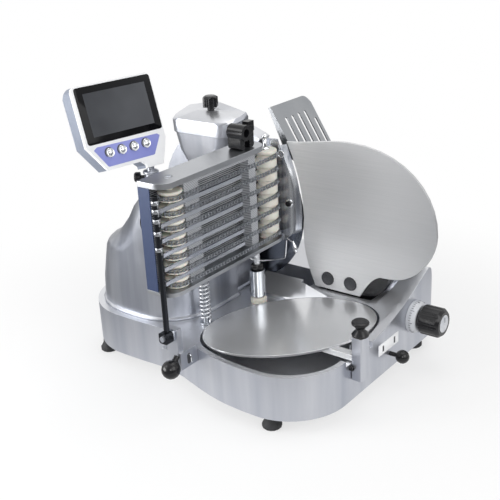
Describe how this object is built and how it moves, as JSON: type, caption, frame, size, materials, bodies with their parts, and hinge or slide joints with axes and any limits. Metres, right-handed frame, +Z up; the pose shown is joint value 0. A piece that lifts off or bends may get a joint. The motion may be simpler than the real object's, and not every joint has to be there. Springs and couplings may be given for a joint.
{
  "type": "food slicer",
  "caption": "Upright-blade food slicer with a cast body, gauge plate, sliding product carriage, spiked-chain slice conveyor, swinging throw-off fork, oval table and swivelling display.",
  "frame": {"origin": "on the floor under the middle of the whole machine's bounding box", "axes": "+X towards the operator's wall with the thickness knob, +Y from the table side to the carriage side, +Z up"},
  "size_m": [0.7718, 0.6711, 0.6569],
  "materials": {
    "cast_aluminium": "satin, bead blasted",
    "brushed_steel": "brushed",
    "polished_steel": "polished",
    "dark_steel": "dark, oiled",
    "ivory_plastic": "satin",
    "black_plastic": "glossy",
    "black_rubber": "matt",
    "grey_plastic": "satin",
    "screen_glass": "smooth, dark",
    "abrasive": "gritty"
  },
  "bodies": {
    "base": {"base_casting": "cast_aluminium", "bottom_cover": "brushed_steel", "foot_front_left": "black_rubber", "foot_front_right": "black_rubber", "foot_rear_left": "black_rubber", "foot_rear_right": "black_rubber", "tower_housing": "cast_aluminium", "tower_cap": "black_plastic", "blade_bearing": "brushed_steel", "blade_motor": "dark_steel", "drive_belt": "black_rubber", "ring_guard": "cast_aluminium", "slice_deflector": "polished_steel", "sharpener_housing": "cast_aluminium", "grinding_stone": "abrasive", "dial_collar": "ivory_plastic", "frame_top_plate": "polished_steel", "frame_bottom_plate": "polished_steel", "frame_web": "dark_steel", "chain_1": "dark_steel", "chain_2": "dark_steel", "chain_3": "dark_steel", "chain_4": "dark_steel", "chain_5": "dark_steel", "chain_6": "dark_steel", "chain_7": "dark_steel", "rod_clamp": "black_plastic", "coupling_collar": "ivory_plastic", "spring_post": "brushed_steel", "support_spring": "polished_steel", "fork_bracket": "cast_aluminium", "carriage_rail": "polished_steel", "display_post": "cast_aluminium"},
    "blade": {"blade": "polished_steel", "blade_shaft": "brushed_steel"},
    "motor_pulley": {"motor_pulley": "brushed_steel"},
    "drive_spindle": {"drive_spindle": "ivory_plastic"},
    "idler_spindle": {"idler_spindle": "ivory_plastic"},
    "coupling": {"coupling_sleeve": "polished_steel"},
    "gauge": {"gauge_plate": "brushed_steel", "gauge_carrier": "black_plastic"},
    "thickness_knob": {"thickness_knob": "black_plastic"},
    "carriage": {"product_tray": "brushed_steel", "carriage_arm": "cast_aluminium"},
    "pusher": {"product_pusher": "brushed_steel"},
    "fork": {"throw_fork": "polished_steel"},
    "table": {"deposit_table": "polished_steel", "table_stand": "cast_aluminium"},
    "table_lock": {"table_lock_knob": "black_plastic"},
    "display": {"display_housing": "grey_plastic", "display_bezel": "grey_plastic", "display_screen": "screen_glass"},
    "display_clamp": {"display_clamp_knob": "black_plastic"},
    "sharpener_knob": {"sharpener_knob": "black_plastic"},
    "fork_release": {"fork_ball_knob": "black_plastic"},
    "panel_knob": {"panel_ball_knob": "black_plastic"},
    "key_1": {"key_1": "polished_steel"},
    "key_2": {"key_2": "polished_steel"},
    "key_3": {"key_3": "polished_steel"},
    "key_4": {"key_4": "polished_steel"}
  },
  "joints": [
    {"name": "blade_spin", "type": "hinge", "parent": "base", "child": "blade", "pos_m": [-0.14495, 0.11571, 0.3], "axis": [0, 1, 0], "continuous": true},
    {"name": "motor_spin", "type": "hinge", "parent": "base", "child": "motor_pulley", "pos_m": [-0.19095, 0.03571, 0.196], "axis": [0, 1, 0], "continuous": true},
    {"name": "drive_spin", "type": "hinge", "parent": "base", "child": "drive_spindle", "pos_m": [-0.01395, 0.07671, 0.35], "axis": [0, 0, 1], "continuous": true},
    {"name": "idler_spin", "type": "hinge", "parent": "base", "child": "idler_spindle", "pos_m": [-0.01395, -0.23629, 0.35], "axis": [0, 0, 1], "continuous": true},
    {"name": "coupling_spin", "type": "hinge", "parent": "base", "child": "coupling", "pos_m": [-0.00595, 0.01771, 0.19], "axis": [0, 0, 1], "continuous": true},
    {"name": "gauge_slide", "type": "slide", "parent": "base", "child": "gauge", "axis": [0, -1, 0], "range_m": [0, 0.015]},
    {"name": "thickness_turn", "type": "hinge", "parent": "base", "child": "thickness_knob", "pos_m": [0.34605, 0.15971, 0.112], "axis": [1, 0, 0], "range_deg": [0, 300]},
    {"name": "carriage_slide", "type": "slide", "parent": "base", "child": "carriage", "axis": [1, 0, 0], "range_m": [-0.28, 0.03]},
    {"name": "pusher_slide", "type": "slide", "parent": "carriage", "child": "pusher", "axis": [0, 1, 0], "range_m": [0, 0.12]},
    {"name": "fork_swing", "type": "hinge", "parent": "base", "child": "fork", "pos_m": [0.00405, -0.29829, 0.178], "axis": [0, 1, 0], "range_deg": [0, 85]},
    {"name": "table_slide", "type": "slide", "parent": "base", "child": "table", "axis": [0, 1, 0], "range_m": [-0.02, 0.004]},
    {"name": "table_lock_turn", "type": "hinge", "parent": "table", "child": "table_lock", "pos_m": [0.32365, -0.08429, 0.19], "axis": [0, 0, 1], "range_deg": [0, 180]},
    {"name": "display_swivel", "type": "hinge", "parent": "base", "child": "display", "pos_m": [-0.15195, -0.14329, 0.47], "axis": [0, 0, 1], "range_deg": [-30, 30]},
    {"name": "display_clamp_turn", "type": "hinge", "parent": "base", "child": "display_clamp", "pos_m": [-0.16339, -0.15187, 0.447], "axis": [-0.8, -0.6, 0], "range_deg": [0, 180]},
    {"name": "sharpener_knob_turn", "type": "hinge", "parent": "base", "child": "sharpener_knob", "pos_m": [-0.19095, 0.10971, 0.545], "axis": [0, 0, 1], "range_deg": [-90, 90]},
    {"name": "fork_release_pull", "type": "slide", "parent": "base", "child": "fork_release", "axis": [0, -0.7071, -0.7071], "range_m": [0, 0.008], "stiffness_N_per_m": 600},
    {"name": "panel_knob_pull", "type": "slide", "parent": "base", "child": "panel_knob", "axis": [1, 0, 0], "range_m": [0, 0.008], "stiffness_N_per_m": 500},
    {"name": "key_1_press", "type": "slide", "parent": "display", "child": "key_1", "axis": [-0.9404, 0.1709, -0.294], "range_m": [0, 0.002], "stiffness_N_per_m": 900},
    {"name": "key_2_press", "type": "slide", "parent": "display", "child": "key_2", "axis": [-0.9404, 0.1709, -0.294], "range_m": [0, 0.002], "stiffness_N_per_m": 900},
    {"name": "key_3_press", "type": "slide", "parent": "display", "child": "key_3", "axis": [-0.9404, 0.1709, -0.294], "range_m": [0, 0.002], "stiffness_N_per_m": 900},
    {"name": "key_4_press", "type": "slide", "parent": "display", "child": "key_4", "axis": [-0.9404, 0.1709, -0.294], "range_m": [0, 0.002], "stiffness_N_per_m": 900}
  ],
  "couplings": [
    {"joint": "motor_spin", "follows": "blade_spin", "ratio": 1.5556},
    {"joint": "idler_spin", "follows": "drive_spin", "ratio": 1},
    {"joint": "coupling_spin", "follows": "drive_spin", "ratio": 1},
    {"joint": "thickness_turn", "follows": "gauge_slide", "rad_per_m": 349}
  ]
}
